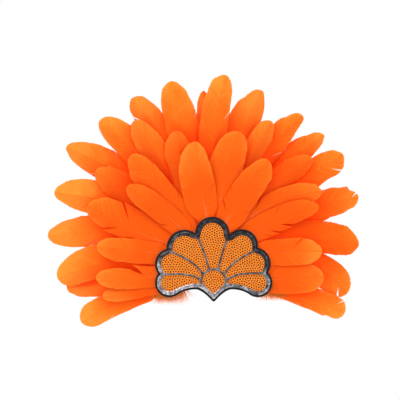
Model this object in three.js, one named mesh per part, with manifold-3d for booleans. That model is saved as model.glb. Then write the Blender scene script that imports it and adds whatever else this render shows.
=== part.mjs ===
// Carnival feather headdress: a fan of dyed goose feathers held between a felt backing and a sequinned
// scallop patch, with a loop of flat elastic that runs round the back of the head.
// Millimetres, +Z up, +X to the viewer's right, -Y towards the viewer. The origin is the middle of the
// felt backing's rear face, where it rests on the forehead.
import * as THREE from "three";
import { mergeVertices } from "three/addons/utils/BufferGeometryUtils.js";
import Module from "manifold-3d";

const wasm = await Module();
wasm.setup();

// Thicknesses and gaps
const GAP = 0.3; // between pieces that are glued or sewn together
const FELT = 2; // felt backing and patch felt
const FOIL = 0.8;
const SEQUINS = 1; // one field of sequins on its net
const QUILL = 1.3; // thickest part of a feather, along its shaft
const VANE_EDGE = 0.6; // edge of a feather
const QUILL_HALF_WIDTH = 1.1; // bare quill at the root
const TIP_HALF_WIDTH = 0.9;

// Feather layers: 0 is next to the felt backing, 5 is next to the patch
const LAYERS = 6;
const LAYER_PITCH = 1.8;
const LEAN_START = 70; // distance from the origin where the layers begin to open out
const LEAN_EASING = 30;
const BACK_LEAN = -0.12; // slope of layer 0, towards the head
const LEAN_STEP = 0.07; // slope that each further layer gains, towards the viewer
const CAMBER_SHARE = 0.75; // part of the free space between two layers that a vane's edges drop into
const CAMBER_FREE = 1.4; // spacing below which a vane stays flat
const CAMBER_POWER = 1.5;
const SEAT_Y = -(FELT + GAP); // front of the felt, less the gap
const FIRST_LAYER_Y = SEAT_Y - QUILL / 2;

// Depths of the plates, from the head to the viewer
const PATCH_REAR = FIRST_LAYER_Y - (LAYERS - 1) * LAYER_PITCH - QUILL / 2 - GAP;
const FOIL_REAR = PATCH_REAR - FELT - GAP;
const SEQUIN_REAR = FOIL_REAR - FOIL - GAP;

// The whole fan is swept back from its middle, so that it follows the brow
const SWEEP_SLOPE = 0.25;
const SWEEP_ROUNDING = 42;
const SLICE_PITCH = 20; // a plate is folded at these steps in x

// A feather's outline: shares of its length, and of its full width
const STATIONS = [0, 0.06, 0.12, 0.2, 0.28, 0.36, 0.5, 0.64, 0.76, 0.86, 0.94, 0.985, 1];
const FRONT_ACROSS = [-1, -0.5, 0, 0.5, 1];
const BACK_ACROSS = [1, 0, -1];
const QUILL_END = 0.05; // the bare quill ends and the vane begins
const VANE_FILLED = 0.36; // the vane has nearly its full width
const VANE_WIDEST = 0.55;
const FILLED_SHARE = 0.92;
const TIP_POWER = 2.2;

// Every feather: its layer, its root and tip, the sideways bow of its shaft (positive to the left of the
// way from root to tip), the widths of its vane on the left and on the right of the shaft, and the shares of
// its length where the tip begins to round on either side
const FEATHERS = table(
  ["name", "layer", "rootX", "rootZ", "tipX", "tipZ", "bow", "left", "right", "tipLeft", "tipRight"],
  [
    ["back_01", 1, -38, -13, -159, -61, -7, 14, 16, 0.84, 0.84],
    ["back_02", 0, -36, -6, -177, -19, -2, 15.5, 15.5, 0.74, 0.74],
    ["back_03", 1, -36, 13, -188, -8, -11, 23, 24, 0.7, 0.66],
    ["back_04", 0, -36, 26, -200, 42, -12, 17.5, 20, 0.7, 0.64],
    ["back_05", 1, -33, 38, -192, 95, -12, 18.5, 21.5, 0.7, 0.7],
    ["back_06", 0, -30, 46, -178, 150, -11, 18, 20.5, 0.68, 0.68],
    ["back_07", 1, -25, 52, -137, 182, -8, 15, 20.5, 0.76, 0.76],
    ["back_08", 0, -16, 52, -98, 209, -11, 16, 18.5, 0.8, 0.72],
    ["back_09", 1, -12, 58, -51, 229, 0, 18, 20.5, 0.8, 0.68],
    ["back_10", 0, -7, 59, -12, 217.5, 0, 9.5, 8.5, 0.76, 0.76],
    ["back_11", 2, 3, 59, 14, 236, 9, 18, 14, 0.78, 0.8],
    ["back_12", 0, 9, 58, 58, 218, 6, 24, 14.5, 0.66, 0.72],
    ["back_13", 1, 17, 54, 107, 188, 12, 18.5, 15, 0.6, 0.6],
    ["back_14", 0, 20, 43, 133, 165, 8, 17.5, 13, 0.66, 0.66],
    ["back_15", 1, 28, 44, 156, 141, 5, 16, 16.5, 0.78, 0.88],
    ["back_16", 0, 33, 37, 175, 89, 8, 18.5, 17, 0.7, 0.7],
    ["back_17", 1, 35, 31, 175, 32, 8, 22, 16, 0.7, 0.84],
    ["back_18", 0, 35, 12, 161, -26, 23, 18.5, 20, 0.8, 0.8],
    ["back_19", 1, 35, -2, 158, -49, 1, 15, 12.5, 0.87, 0.87],
    ["mid_01", 3, -21, 22, -152, 79, 4, 15, 24, 0.74, 0.74],
    ["mid_02", 2, -21, 31, -142, 121, -5, 17.5, 17.5, 0.74, 0.74],
    ["mid_03", 2, -18, 48, -96, 181, -5, 16.5, 15, 0.74, 0.74],
    ["mid_04", 2, 16, 33, 119, 136, 9, 16.5, 11, 0.74, 0.74],
    ["mid_05", 3, 14, 40, 130, 96, 12, 15, 13, 0.74, 0.74],
    ["mid_06", 2, 12, 48, 69, 181, 6, 13, 13, 0.8, 0.8],
    ["front_01", 4, -8, 29, -99, 140, -1, 19.5, 14.5, 0.72, 0.72],
    ["front_02", 5, -12, 26, -104, 102, -4, 13, 14, 0.72, 0.72],
    ["front_03", 3, -5, 33, -44, 169, 7, 19.5, 16, 0.72, 0.72],
    ["front_04", 5, -3, 41, -22, 156, 2, 23.5, 17, 0.62, 0.42],
    ["front_05", 4, 5, 41, 30, 168, 6, 21.5, 18.5, 0.66, 0.74],
    ["front_06", 5, 1, 27, 65, 134.5, 5, 16.5, 18.5, 0.58, 0.74],
    ["front_07", 4, 9, 23, 126, 78, 6, 16.5, 13, 0.7, 0.5],
    ["front_08", 5, 27, 23, 130, 25, 0, 15.5, 16, 0.74, 0.74],
    ["front_09", 4, 29, -8, 132, -6, -2, 18, 17, 0.74, 0.74],
    ["front_10", 4, -28, 20, -140, 31, 1, 14.5, 13.5, 0.74, 0.74],
    ["front_11", 5, -28, 2, -141, -6, 4, 13, 12, 0.74, 0.74],
    ["front_12", 4, -31, -11, -133, -30, -1, 10, 11, 0.74, 0.74],
  ],
);

// The scallops down each side of the patch, from the top one that both sides share. On either side x runs
// outwards from the middle
const LOBES = {
  right: table(
    ["x", "z", "radius"],
    [
      [-1.6, 45.7, 20.7],
      [33.9, 32.2, 19.3],
      [48.7, 10.3, 19.6],
      [53.1, -12.8, 17.3],
    ],
  ),
  left: table(
    ["x", "z", "radius"],
    [
      [1.6, 45.7, 20.7],
      [34.8, 29.4, 21.5],
      [50.9, 9.5, 19.3],
      [53, -12.8, 17.3],
    ],
  ),
};
const LAST_LOBE_END = THREE.MathUtils.degToRad(-125); // where the last scallop turns into the lower edge
const LOWER_EDGE = { peakX: 21, peakZ: -20.5, riseX: 34.3, fallX: 13.5, fallZ: -21.5 };
const LOWER_POINT = { z: -35, halfWidth: 2.6, rise: 1.7 }; // a blunt point
const LOWER_EDGE_STEPS = 4;
const POINT_INSET = 1.3; // the lower point moves in by this share of an inset
const FALL_INSET = { x: -0.2, z: 1.5 }; // and the bend above it by these shares
const ARC_STEP = THREE.MathUtils.degToRad(23);
const BACKING_INSET = 3;
const FOIL_INSET = 2.1;
const SEQUIN_INSET = 7.2;

// Foil lines between the sequin fields: inner end, bend and outer end
const DIVIDERS = table(
  ["innerX", "innerZ", "bendX", "bendZ", "outerX", "outerZ"],
  [
    [5.6, 3, 10.5, 26.6, 19, 47.5],
    [12.2, -3.6, 19.9, 13.9, 56, 28.5],
    [14.5, -10.4, 25.7, 2.3, 70, -2.5],
    [-5.6, 3, -10.8, 26.6, -22.6, 50],
    [-12.2, -3.6, -20.5, 13.9, -57, 27],
    [-14.5, -10.4, -25.7, 2, -70, -4],
  ],
);
const DIVIDER_WIDTH = 2.8;
const DIVIDER_STEPS = 6;
const CENTRE_FIELD = { z: -11.2, radius: 13.5, ring: 2.8 };
const CUT_MARGIN = 1; // a cutter stands this far out of what it cuts
const FIELD_ROWS = ["upper", "middle", "lower"];
const MIDDLE_HALF_WIDTH = 4; // a field whose centre lies this near x = 0 is a middle one

// Felt core that fills the middle of the backing, inside the ring of quills
const CORE = { halfWidth: 20, bottom: -14, top: 16 };

// Elastic loop: half of its course seen from above, from the end sewn to the backing to its middle
const ELASTIC = { thickness: 1.2, bottom: -10, top: 5, steps: 44 };
const ELASTIC_TAB = table(
  ["x", "lift"],
  [
    [32, 0],
    [44, 0],
    [54, 0.5],
    [63, 3.5],
  ],
);
const ELASTIC_COURSE = table(
  ["x", "y"],
  [
    [74, 24],
    [82, 56],
    [80, 98],
    [62, 143],
    [31, 165],
    [0, 171],
  ],
);

const MATERIALS = {
  feather: { color: 0xf4701e, roughness: 0.75, metalness: 0 },
  felt: { color: 0x17171b, roughness: 0.95, metalness: 0 },
  foil: { color: 0x9a9ca4, roughness: 0.3, metalness: 0.9 },
  sequin: { color: 0xf08020, roughness: 0.35, metalness: 0.1 },
  elastic: { color: 0x1c1c20, roughness: 0.85, metalness: 0 },
};

function table(names, rows) {
  return rows.map((row) => Object.fromEntries(names.map((name, column) => [name, row[column]])));
}

function sweepBack(x) {
  return SWEEP_SLOPE * (Math.hypot(x, SWEEP_ROUNDING) - SWEEP_ROUNDING);
}

// Pushes a flat piece back by the sweep at each of its points.
function swept(geometry) {
  const points = geometry.attributes.position;
  for (let i = 0; i < points.count; i += 1) {
    points.setY(i, points.getY(i) + sweepBack(points.getX(i)));
  }
  return geometry;
}

function geometryOf(points, triangles) {
  const geometry = new THREE.BufferGeometry();
  geometry.setAttribute("position", new THREE.Float32BufferAttribute(points, 3));
  geometry.setIndex(triangles);
  return geometry;
}

// Joins rings with the same number of points into one closed solid.
function loft(rings) {
  const count = rings[0].length;
  const triangles = [];
  for (let ring = 0; ring < rings.length - 1; ring += 1) {
    for (let i = 0; i < count; i += 1) {
      const here = ring * count + i;
      const next = ring * count + ((i + 1) % count);
      triangles.push(here, next + count, next, here, here + count, next + count);
    }
  }
  const last = (rings.length - 1) * count;
  for (let i = 1; i < count - 1; i += 1) {
    triangles.push(0, i, i + 1, last, last + i + 1, last + i);
  }
  return geometryOf(rings.flat().flatMap((point) => point.toArray()), triangles);
}

// How far the layers have opened out at a distance from the origin.
function opening(radius) {
  const beyond = Math.max(0, radius - LEAN_START);
  return beyond ** 2 / (beyond + LEAN_EASING);
}

function layerY(layer, radius) {
  return FIRST_LAYER_Y - LAYER_PITCH * layer - (BACK_LEAN + LEAN_STEP * layer) * opening(radius);
}

function camberDepth(radius) {
  return CAMBER_SHARE * (LAYER_PITCH + LEAN_STEP * opening(radius) - CAMBER_FREE);
}

// Width of the vane on one side of the shaft. A positive side is the left one.
function vaneWidth(feather, along, side) {
  const filling = THREE.MathUtils.smoothstep(along, QUILL_END, VANE_FILLED);
  const widening = THREE.MathUtils.clamp((along - VANE_FILLED) / (VANE_WIDEST - VANE_FILLED), 0, 1);
  const tipStart = side > 0 ? feather.tipLeft : feather.tipRight;
  const rounding = THREE.MathUtils.clamp((along - tipStart) / (1 - tipStart), 0, 1);
  const full = filling * FILLED_SHARE + widening * (1 - FILLED_SHARE);
  const share = full * Math.sqrt(1 - rounding ** TIP_POWER);
  const smallest = along < VANE_FILLED ? QUILL_HALF_WIDTH : TIP_HALF_WIDTH;
  return Math.max(smallest, share * fullWidth(feather, side));
}

function fullWidth(feather, side) {
  return side > 0 ? feather.left : feather.right;
}

function shaftCurve(feather) {
  const root = new THREE.Vector2(feather.rootX, feather.rootZ);
  const tip = new THREE.Vector2(feather.tipX, feather.tipZ);
  const way = tip.clone().sub(root).normalize();
  const left = new THREE.Vector2(-way.y, way.x);
  const bend = root.clone().lerp(tip, 0.5).addScaledVector(left, 2 * feather.bow);
  return new THREE.QuadraticBezierCurve(root, bend, tip);
}

// One section of a feather: the front face from right to left, then the back face from left to right.
// The root's own section reaches back to the felt that it is glued to.
function featherRing(feather, shaft, along) {
  const middle = shaft.getPoint(along);
  const way = shaft.getTangent(along);
  const point = (across, side) => {
    const width = vaneWidth(feather, along, across);
    const camberScale = width / fullWidth(feather, across);
    const x = middle.x - way.y * width * across;
    const z = middle.y + way.x * width * across;
    const radius = Math.hypot(x, z);
    const thickness = VANE_EDGE + (QUILL - VANE_EDGE) * (1 - Math.abs(across)) ** 2;
    const drop = camberDepth(radius) * camberScale * Math.abs(across) ** CAMBER_POWER;
    const vaneY = layerY(feather.layer, radius) + drop + (side * thickness) / 2;
    return new THREE.Vector3(x, along === 0 && side > 0 ? SEAT_Y : vaneY, z);
  };
  const front = FRONT_ACROSS.map((across) => point(across, -1));
  const back = BACK_ACROSS.map((across) => point(across, 1));
  return [...front, ...back];
}

function featherGeometry(feather) {
  const shaft = shaftCurve(feather);
  return swept(loft(STATIONS.map((along) => featherRing(feather, shaft, along))));
}

function arcPoints(centre, radius, from, to) {
  const steps = Math.max(1, Math.ceil(Math.abs(to - from) / ARC_STEP));
  return Array.from({ length: steps + 1 }, (_, i) => {
    const angle = from + ((to - from) * i) / steps;
    return new THREE.Vector2(centre.x + radius * Math.cos(angle), centre.y + radius * Math.sin(angle));
  });
}

function angleTowards(from, to) {
  return Math.atan2(to.y - from.y, to.x - from.x);
}

// The outer point where two neighbouring scallops cross.
function notchBetween(first, second) {
  const a = new THREE.Vector2(first.x, first.z);
  const b = new THREE.Vector2(second.x, second.z);
  const apart = a.distanceTo(b);
  const along = (apart ** 2 + first.radius ** 2 - second.radius ** 2) / (2 * apart);
  const aside = Math.sqrt(first.radius ** 2 - along ** 2);
  const way = b.clone().sub(a).normalize();
  const out = new THREE.Vector2(-way.y, way.x);
  return a.addScaledVector(way, along).addScaledVector(out, aside);
}

// The lower edge of one half, from the last scallop to the point.
function lowerEdge(start, inset) {
  const { peakX, peakZ, riseX, fallX, fallZ } = LOWER_EDGE;
  const peak = new THREE.Vector2(peakX, peakZ + inset);
  const rise = new THREE.QuadraticBezierCurve(start, new THREE.Vector2(riseX, peakZ + inset), peak);
  const point = new THREE.Vector2(0, LOWER_POINT.z + POINT_INSET * inset);
  const beside = new THREE.Vector2(LOWER_POINT.halfWidth, point.y + LOWER_POINT.rise);
  const bend = new THREE.Vector2(fallX + FALL_INSET.x * inset, fallZ + FALL_INSET.z * inset);
  const fall = new THREE.QuadraticBezierCurve(peak, bend, beside);
  const [risen, fallen] = [rise, fall].map((curve) => curve.getPoints(LOWER_EDGE_STEPS).slice(1));
  return [...risen, ...fallen, point];
}

// One half of the patch's outline, drawn in by an inset, from the top to the point.
function halfContour(lobes, inset) {
  const half = [];
  let from = Math.PI / 2;
  lobes.forEach((lobe, i) => {
    const centre = new THREE.Vector2(lobe.x, lobe.z);
    const next = lobes[i + 1];
    const notch = next ? notchBetween(lobe, next) : null;
    const to = notch ? angleTowards(centre, notch) : LAST_LOBE_END;
    half.push(...arcPoints(centre, lobe.radius - inset, from, to));
    if (notch) {
      const nextCentre = new THREE.Vector2(next.x, next.z);
      const turn = [angleTowards(notch, centre), angleTowards(notch, nextCentre)];
      if (turn[1] < turn[0]) turn[1] += 2 * Math.PI;
      if (inset > 0) half.push(...arcPoints(notch, inset, ...turn).slice(1, -1));
      from = angleTowards(nextCentre, notch);
    }
  });
  return [...half, ...lowerEdge(half.at(-1), inset)];
}

function patchContour(inset) {
  const left = halfContour(LOBES.left, inset).slice(1, -1).reverse();
  const mirrored = left.map((point) => new THREE.Vector2(-point.x, point.y));
  return withoutRepeats([...halfContour(LOBES.right, inset), ...mirrored]);
}

function withoutRepeats(points) {
  return points.filter((point, i) => i === 0 || point.distanceTo(points[i - 1]) > GAP);
}

// A flat plate with this outline, between two depths.
function plate(shape, rearY, frontY) {
  const geometry = new THREE.ExtrudeGeometry(shape, { depth: rearY - frontY, bevelEnabled: false });
  geometry.rotateX(Math.PI / 2);
  geometry.translate(0, rearY, 0);
  return geometry;
}

function solidOf(geometry) {
  geometry.deleteAttribute("normal");
  geometry.deleteAttribute("uv");
  const merged = mergeVertices(geometry);
  const mesh = new wasm.Mesh({
    numProp: 3,
    vertProperties: merged.attributes.position.array,
    triVerts: Uint32Array.from(merged.index.array),
  });
  return new wasm.Manifold(mesh);
}

// The part of a triangle on one side of a plane across x.
function clipped(triangle, planeX, side) {
  const kept = [];
  triangle.forEach((point, i) => {
    const next = triangle[(i + 1) % triangle.length];
    const here = side * (point.x - planeX);
    const there = side * (next.x - planeX);
    if (here >= 0) kept.push(point);
    if (here * there < 0) kept.push(point.clone().lerp(next, here / (here - there)));
  });
  return kept;
}

function split(triangle, planeX) {
  const left = triangle.some((point) => point.x < planeX);
  const right = triangle.some((point) => point.x > planeX);
  if (!(left && right)) return [triangle];
  return [-1, 1].flatMap((side) => {
    const piece = clipped(triangle, planeX, side);
    return piece.slice(2).map((point, i) => [piece[0], piece[i + 1], point]);
  });
}

// Cuts a flat solid's triangles at even steps in x, so that the swept plate bends instead of staying flat.
function folded(solid) {
  const { vertProperties, triVerts } = solid.getMesh();
  const corner = (vertex) => new THREE.Vector3().fromArray(vertProperties, vertex * 3);
  let triangles = Array.from({ length: triVerts.length / 3 }, (_, i) =>
    [0, 1, 2].map((k) => corner(triVerts[3 * i + k])),
  );
  const { min, max } = solid.boundingBox();
  for (let step = Math.ceil(min[0] / SLICE_PITCH); step * SLICE_PITCH < max[0]; step += 1) {
    triangles = triangles.flatMap((triangle) => split(triangle, step * SLICE_PITCH));
  }
  const points = triangles.flat().flatMap((point) => point.toArray());
  return swept(mergeVertices(geometryOf(points, [...Array(points.length / 3).keys()])));
}

function feltBackingSolid() {
  const sheet = solidOf(plate(new THREE.Shape(patchContour(BACKING_INSET)), 0, -FELT));
  const depth = -(PATCH_REAR + GAP);
  const block = new THREE.BoxGeometry(2 * CORE.halfWidth, depth, CORE.top - CORE.bottom);
  block.translate(0, -depth / 2, (CORE.top + CORE.bottom) / 2);
  return sheet.add(solidOf(block));
}

function patchPlate(inset, rearY, thickness) {
  return solidOf(plate(new THREE.Shape(patchContour(inset)), rearY, rearY - thickness));
}

// A bent strip that cuts one foil line out of the sequin sheet.
function dividerCutter(divider) {
  const curve = new THREE.QuadraticBezierCurve(
    new THREE.Vector2(divider.innerX, divider.innerZ),
    new THREE.Vector2(divider.bendX, divider.bendZ),
    new THREE.Vector2(divider.outerX, divider.outerZ),
  );
  const sideLine = (side) =>
    Array.from({ length: DIVIDER_STEPS + 1 }, (_, i) => {
      const way = curve.getTangent(i / DIVIDER_STEPS);
      const aside = new THREE.Vector2(-way.y, way.x);
      return curve.getPoint(i / DIVIDER_STEPS).addScaledVector(aside, (side * DIVIDER_WIDTH) / 2);
    });
  return cutter(new THREE.Shape([...sideLine(1), ...sideLine(-1).reverse()]));
}

// The ring of foil round the middle field.
function ringCutter() {
  const centre = new THREE.Vector2(0, CENTRE_FIELD.z);
  const circle = (radius) => arcPoints(centre, radius, 0, 2 * Math.PI).slice(1);
  const shape = new THREE.Shape(circle(CENTRE_FIELD.radius + CENTRE_FIELD.ring));
  shape.holes.push(new THREE.Path(circle(CENTRE_FIELD.radius)));
  return cutter(shape);
}

function cutter(shape) {
  return solidOf(plate(shape, SEQUIN_REAR + CUT_MARGIN, SEQUIN_REAR - SEQUINS - CUT_MARGIN));
}

// The sequin sheet, cut into its eight fields.
function sequinFields() {
  let sheet = patchPlate(SEQUIN_INSET, SEQUIN_REAR, SEQUINS).subtract(ringCutter());
  for (const divider of DIVIDERS) {
    sheet = sheet.subtract(dividerCutter(divider));
  }
  return sheet.decompose();
}

function fieldCentre(solid) {
  const { min, max } = solid.boundingBox();
  return { x: (min[0] + max[0]) / 2, z: (min[2] + max[2]) / 2 };
}

// Names the fields by where they lie: a top and a middle one, and three down each side.
function namedFields() {
  const fields = sequinFields().map((solid) => ({ solid, ...fieldCentre(solid) }));
  fields.sort((a, b) => b.z - a.z);
  const middle = fields.filter((field) => Math.abs(field.x) < MIDDLE_HALF_WIDTH);
  const named = [
    ["sequin_top", middle[0]],
    ["sequin_centre", middle[1]],
  ];
  for (const side of ["left", "right"]) {
    const sign = side === "left" ? -1 : 1;
    const column = fields.filter((field) => sign * field.x > MIDDLE_HALF_WIDTH);
    column.forEach((field, i) => named.push([`sequin_${FIELD_ROWS[i]}_${side}`, field]));
  }
  return named.map(([name, field]) => ({ name, solid: field.solid }));
}

function elasticCurve() {
  const sewn = GAP + ELASTIC.thickness / 2;
  const half = [
    ...ELASTIC_TAB.map(({ x, lift }) => new THREE.Vector3(x, sweepBack(x) + sewn + lift, 0)),
    ...ELASTIC_COURSE.map(({ x, y }) => new THREE.Vector3(x, y, 0)),
  ];
  const other = half.slice(0, -1).reverse().map((point) => new THREE.Vector3(-point.x, point.y, 0));
  return new THREE.CatmullRomCurve3([...half, ...other]);
}

function elasticGeometry() {
  const curve = elasticCurve();
  const rings = Array.from({ length: ELASTIC.steps + 1 }, (_, i) => {
    const middle = curve.getPoint(i / ELASTIC.steps);
    const way = curve.getTangent(i / ELASTIC.steps);
    const corner = (side, z) => {
      const aside = (side * ELASTIC.thickness) / 2;
      return new THREE.Vector3(middle.x + way.y * aside, middle.y - way.x * aside, z);
    };
    const { bottom, top } = ELASTIC;
    return [corner(1, bottom), corner(1, top), corner(-1, top), corner(-1, bottom)];
  });
  return loft(rings);
}

function addPiece(group, name, geometry, material) {
  const mesh = new THREE.Mesh(geometry, new THREE.MeshStandardMaterial(MATERIALS[material]));
  mesh.name = name;
  group.add(mesh);
}

function featherFan() {
  const group = new THREE.Group();
  for (const feather of FEATHERS) {
    addPiece(group, `feather_${feather.name}`, featherGeometry(feather), "feather");
  }
  return group;
}

function sequinnedPatch() {
  const group = new THREE.Group();
  addPiece(group, "patch_felt", folded(patchPlate(0, PATCH_REAR, FELT)), "felt");
  addPiece(group, "foil_layer", folded(patchPlate(FOIL_INSET, FOIL_REAR, FOIL)), "foil");
  for (const { name, solid } of namedFields()) {
    addPiece(group, name, folded(solid), "sequin");
  }
  return group;
}

const headdress = new THREE.Group();
headdress.name = "carnival_feather_headdress";
headdress.add(featherFan());
headdress.add(sequinnedPatch());
addPiece(headdress, "felt_backing", folded(feltBackingSolid()), "felt");
addPiece(headdress, "elastic_loop", elasticGeometry(), "elastic");

export default headdress;
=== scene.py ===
"""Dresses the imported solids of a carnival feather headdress: barbed feathers, felt, foil, sequins, elastic.

Shapes are laid out in millimetres as the pieces are cut, flat, with x to the right, y to the back and z up.
make_piece() then sweeps them back round the brow, as the solids are, and scales them to metres.
"""
import math
from collections import namedtuple

import bpy
import numpy as np
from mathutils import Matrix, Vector
from mathutils.geometry import delaunay_2d_cdt


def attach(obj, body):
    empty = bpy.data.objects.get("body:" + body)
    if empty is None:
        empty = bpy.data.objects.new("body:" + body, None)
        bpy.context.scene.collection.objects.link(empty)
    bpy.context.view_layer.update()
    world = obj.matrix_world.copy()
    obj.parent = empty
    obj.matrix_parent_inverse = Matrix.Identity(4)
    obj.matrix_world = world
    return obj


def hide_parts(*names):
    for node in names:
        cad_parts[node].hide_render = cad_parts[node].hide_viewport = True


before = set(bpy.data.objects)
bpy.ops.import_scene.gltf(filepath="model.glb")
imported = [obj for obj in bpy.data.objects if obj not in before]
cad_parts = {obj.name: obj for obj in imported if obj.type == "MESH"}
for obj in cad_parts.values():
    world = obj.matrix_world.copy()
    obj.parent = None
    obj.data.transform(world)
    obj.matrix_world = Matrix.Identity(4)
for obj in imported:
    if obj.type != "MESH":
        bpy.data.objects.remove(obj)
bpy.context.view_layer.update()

MM = 0.001
FULL_TURN = 2 * math.pi
SEED = 12003
FOIL_SEED = SEED + 50
SEQUIN_SEED = SEED + 100
VANE_WELD_DECIMALS = 4  # points that agree to this many decimals are one
FELT_WELD_DECIMALS = 3
SOLID_WELD_DECIMALS = 2
FRONT_FACING = -0.5  # faces whose normal points further to the front than this
SHARP_ANGLE = math.radians(50)  # edges that bend more are shaded as sharp
FILL_TOLERANCE = 1e-5
LEAST_RISE = 1e-9
DISTANCE_CHUNK = 64  # about so many points of a loop are measured at a time
RIPPLE_WAVES = 7
RIPPLE_PITCH = (0.6, 1.5)  # shortest and longest wave, in wavelengths

# Layout shared with the solids
GAP = 0.3
FELT = 2
FOIL = 0.8
QUILL = 1.3
QUILL_HALF_WIDTH = 1.1
TIP_HALF_WIDTH = 0.9
LAYERS = 6
LAYER_PITCH = 1.8
LEAN_START = 70
LEAN_EASING = 30
BACK_LEAN = -0.12
LEAN_STEP = 0.07
CAMBER_SHARE = 0.75
CAMBER_FREE = 1.4
SEAT_Y = -(FELT + GAP)
FIRST_LAYER_Y = SEAT_Y - QUILL / 2
PATCH_REAR = FIRST_LAYER_Y - (LAYERS - 1) * LAYER_PITCH - QUILL / 2 - GAP
FOIL_REAR = PATCH_REAR - FELT - GAP
SEQUIN_REAR = FOIL_REAR - FOIL - GAP
SWEEP_SLOPE = 0.25
SWEEP_ROUNDING = 42

# A feather's outline, in shares of its length and width
QUILL_END = 0.05
VANE_FILLED = 0.36
VANE_WIDEST = 0.55
FILLED_SHARE = 0.92
TIP_POWER = 2.2
TIP_START = 0.74  # where most vanes begin to round off

Feather = namedtuple(
    "Feather",
    "name layer root_x root_z tip_x tip_z bow left right tip_left tip_right",
    defaults=(TIP_START, TIP_START),
)
FEATHERS = [Feather(*row) for row in (
    ("back_01", 1, -38, -13, -159, -61, -7, 14, 16, 0.84, 0.84),
    ("back_02", 0, -36, -6, -177, -19, -2, 15.5, 15.5),
    ("back_03", 1, -36, 13, -188, -8, -11, 23, 24, 0.7, 0.66),
    ("back_04", 0, -36, 26, -200, 42, -12, 17.5, 20, 0.7, 0.64),
    ("back_05", 1, -33, 38, -192, 95, -12, 18.5, 21.5, 0.7, 0.7),
    ("back_06", 0, -30, 46, -178, 150, -11, 18, 20.5, 0.68, 0.68),
    ("back_07", 1, -25, 52, -137, 182, -8, 15, 20.5, 0.76, 0.76),
    ("back_08", 0, -16, 52, -98, 209, -11, 16, 18.5, 0.8, 0.72),
    ("back_09", 1, -12, 58, -51, 229, 0, 18, 20.5, 0.8, 0.68),
    ("back_10", 0, -7, 59, -12, 217.5, 0, 9.5, 8.5, 0.76, 0.76),
    ("back_11", 2, 3, 59, 14, 236, 9, 18, 14, 0.78, 0.8),
    ("back_12", 0, 9, 58, 58, 218, 6, 24, 14.5, 0.66, 0.72),
    ("back_13", 1, 17, 54, 107, 188, 12, 18.5, 15, 0.6, 0.6),
    ("back_14", 0, 20, 43, 133, 165, 8, 17.5, 13, 0.66, 0.66),
    ("back_15", 1, 28, 44, 156, 141, 5, 16, 16.5, 0.78, 0.88),
    ("back_16", 0, 33, 37, 175, 89, 8, 18.5, 17, 0.7, 0.7),
    ("back_17", 1, 35, 31, 175, 32, 8, 22, 16, 0.7, 0.84),
    ("back_18", 0, 35, 12, 161, -26, 23, 18.5, 20, 0.8, 0.8),
    ("back_19", 1, 35, -2, 158, -49, 1, 15, 12.5, 0.87, 0.87),
    ("mid_01", 3, -21, 22, -152, 79, 4, 15, 24),
    ("mid_02", 2, -21, 31, -142, 121, -5, 17.5, 17.5),
    ("mid_03", 2, -18, 48, -96, 181, -5, 16.5, 15),
    ("mid_04", 2, 16, 33, 119, 136, 9, 16.5, 11),
    ("mid_05", 3, 14, 40, 130, 96, 12, 15, 13),
    ("mid_06", 2, 12, 48, 69, 181, 6, 13, 13, 0.8, 0.8),
    ("front_01", 4, -8, 29, -99, 140, -1, 19.5, 14.5, 0.72, 0.72),
    ("front_02", 5, -12, 26, -104, 102, -4, 13, 14, 0.72, 0.72),
    ("front_03", 3, -5, 33, -44, 169, 7, 19.5, 16, 0.72, 0.72),
    ("front_04", 5, -3, 41, -22, 156, 2, 23.5, 17, 0.62, 0.42),
    ("front_05", 4, 5, 41, 30, 168, 6, 21.5, 18.5, 0.66, 0.74),
    ("front_06", 5, 1, 27, 65, 134.5, 5, 16.5, 18.5, 0.58, 0.74),
    ("front_07", 4, 9, 23, 126, 78, 6, 16.5, 13, 0.7, 0.5),
    ("front_08", 5, 27, 23, 130, 25, 0, 15.5, 16),
    ("front_09", 4, 29, -8, 132, -6, -2, 18, 17),
    ("front_10", 4, -28, 20, -140, 31, 1, 14.5, 13.5),
    ("front_11", 5, -28, 2, -141, -6, 4, 13, 12),
    ("front_12", 4, -31, -11, -133, -30, -1, 10, 11),
)]

# Barbs: each side of a vane is a row of ribbed barbs that leave the shaft and rake towards the tip
BARBS = 84
BARB_ROWS = 9
ROW_POWER = 1.25  # rows lie closer together near the shaft
BARB_RAKE = 1.5
BARB_CURL = 1.25
BARB_RELIEF = 0.1
RELIEF_START = 0.2  # share of the barb in which its relief rises
BARB_NOTCH = 0.02  # how far the grooves between barbs stop short of the edge, as a share of the barb
TIP_NOTCH = 0.08  # the same at the tip
TIP_GATHERING = 4  # the power by which the tip differs from the rest
CLUMPS = 16  # groups of barbs on one side that are longer or shorter together
CLUMP_RAGGED = 0.01
# Feathers whose clumps of barbs end more unevenly than that
RAGGED = {
    "back_08": 0.02, "back_11": 0.03, "back_12": 0.03, "back_13": 0.025, "back_14": 0.05,
    "back_15": 0.025, "back_16": 0.04, "back_18": 0.03, "back_19": 0.04, "back_02": 0.02, "mid_04": 0.03,
}
TIP_RAGGED = 0.03
VANE_THICKNESS = 0.3
VANE_LOOSE = 1.03  # how much wider the loose barbs lie than the plain solid
SHAFT_DIP = 0.45
SHAFT_DIP_WIDTH = 1.2
ARCH = 1.5  # the vanes' edges fall this much further than those of the plain solids
ARCH_POWER = 1.2
ROLL = 0.07  # greatest slope of a vane that is turned about its shaft
FOLD = 2.2  # how far a vane that is folded along its shaft stands out of the flat, at most
FOLD_WIDTH = 5
PAINTED_SHADE_REACH = 0.7  # how far the shade painted beside a feather's edge reaches past it, as a share of the space below it
FOLD_RANGE = (-1, 0.5)  # -1 a ridge, 1 a valley
FOLDS = {"mid_05": 0.4, "front_08": 1, "front_09": 0.5, "front_10": -1}  # the others vary in that range
BACK_PAINTED_LIGHT = 0.12  # painted light: how much paler the feathers of layer 0 are painted, as if lit from behind
LAYER_PAINTED_SHADE_STEP = 0.075  # and, as painted shade, how much deeper those of each further layer are painted
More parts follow.
